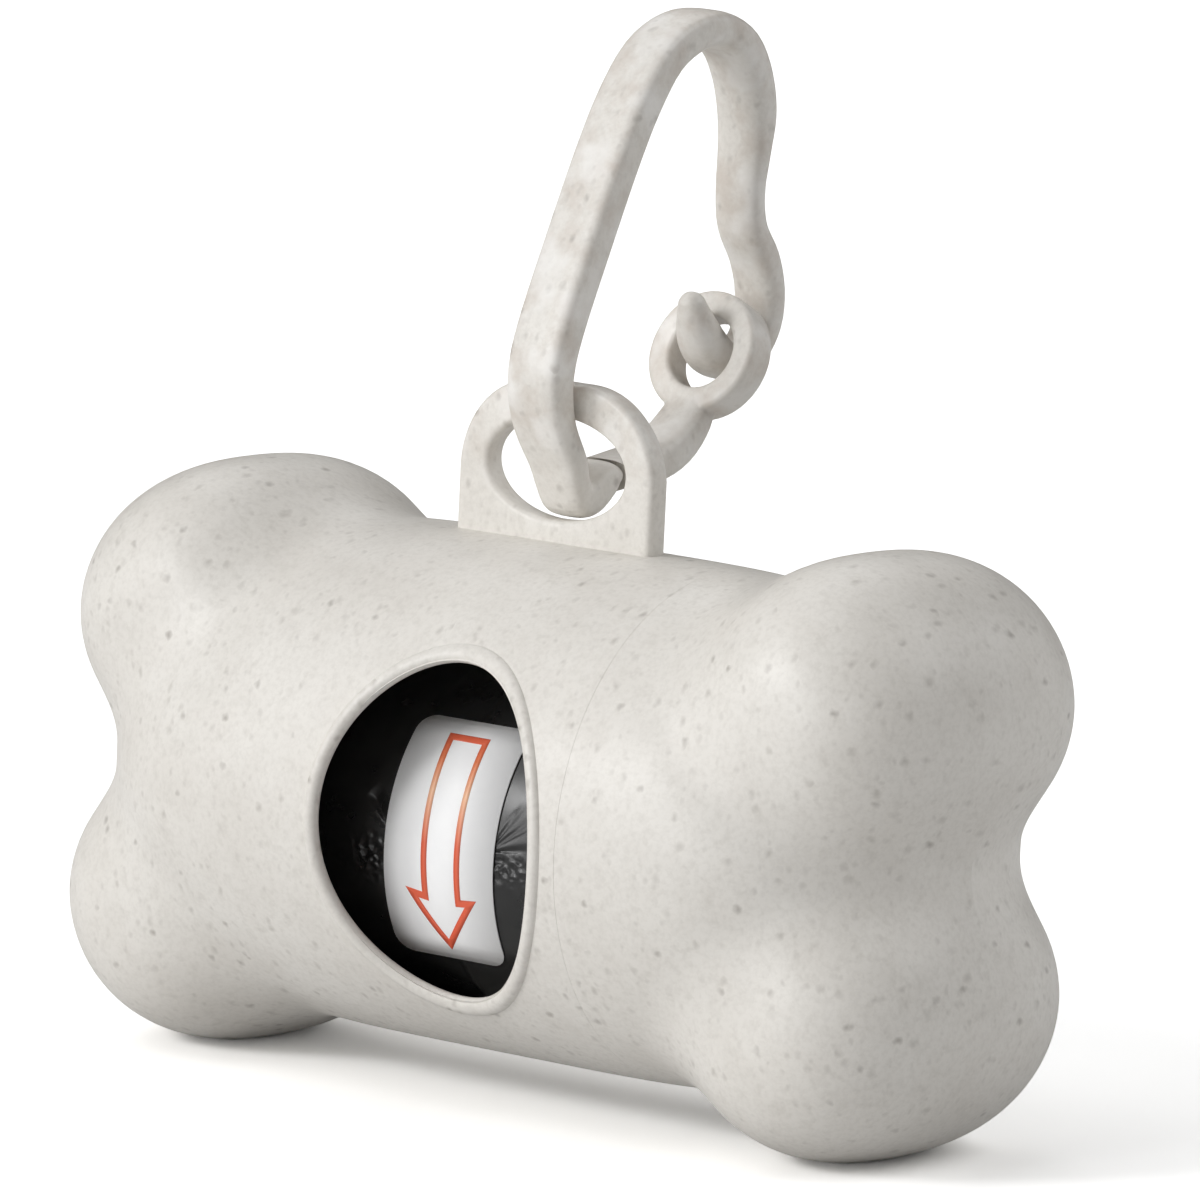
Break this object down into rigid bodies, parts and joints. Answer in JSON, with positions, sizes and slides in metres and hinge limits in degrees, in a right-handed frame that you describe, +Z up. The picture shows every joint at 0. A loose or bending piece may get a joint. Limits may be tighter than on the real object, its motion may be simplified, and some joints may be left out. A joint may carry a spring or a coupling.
{
  "type": "dog waste bag dispenser",
  "caption": "Bone-shaped case for a roll of waste bags, with an oval window to pull bags from, a twist-off end cap, and a snap clip through the lug on top.",
  "frame": {"origin": "on the surface that the bone stands on, below the middle of the overall box, clip included", "axes": "+X along the bone towards the twist-off cap, +Y to the back, away from the window, +Z up towards the lug and clip"},
  "size_m": [0.085, 0.0454, 0.0834],
  "materials": {
    "straw_plastic": "satin, off-white, with fine straw flecks",
    "bag_film": "glossy black film, wound and creased",
    "core_card": "plain brown card",
    "label_paper": "white coated paper"
  },
  "bodies": {
    "shell": {"body_shell": "straw_plastic"},
    "cap": {"end_cap": "straw_plastic"},
    "clip": {"clip_frame": "straw_plastic"},
    "gate": {"clip_gate": "straw_plastic"},
    "roll": {"bag_roll": "bag_film", "roll_core": "core_card", "roll_label": "label_paper"}
  },
  "joints": [
    {"name": "roll_spin", "type": "hinge", "parent": "shell", "child": "roll", "pos_m": [0, -0.00213, 0.01975], "axis": [1, 0, 0], "continuous": true},
    {"name": "cap_twist", "type": "hinge", "parent": "shell", "child": "cap", "pos_m": [0.0155, -0.00213, 0.0229], "axis": [1, 0, 0], "range_deg": [0, 40]},
    {"name": "clip_swing", "type": "hinge", "parent": "shell", "child": "clip", "pos_m": [-0.0014, -0.00213, 0.04855], "axis": [0, 1, 0], "range_deg": [-85, 85]},
    {"name": "gate_flex", "type": "hinge", "parent": "clip", "child": "gate", "pos_m": [-0.0014, 0.00187, 0.0476], "axis": [1, 0, 0], "range_deg": [0, 24], "stiffness_Nm_per_rad": 0.1}
  ]
}
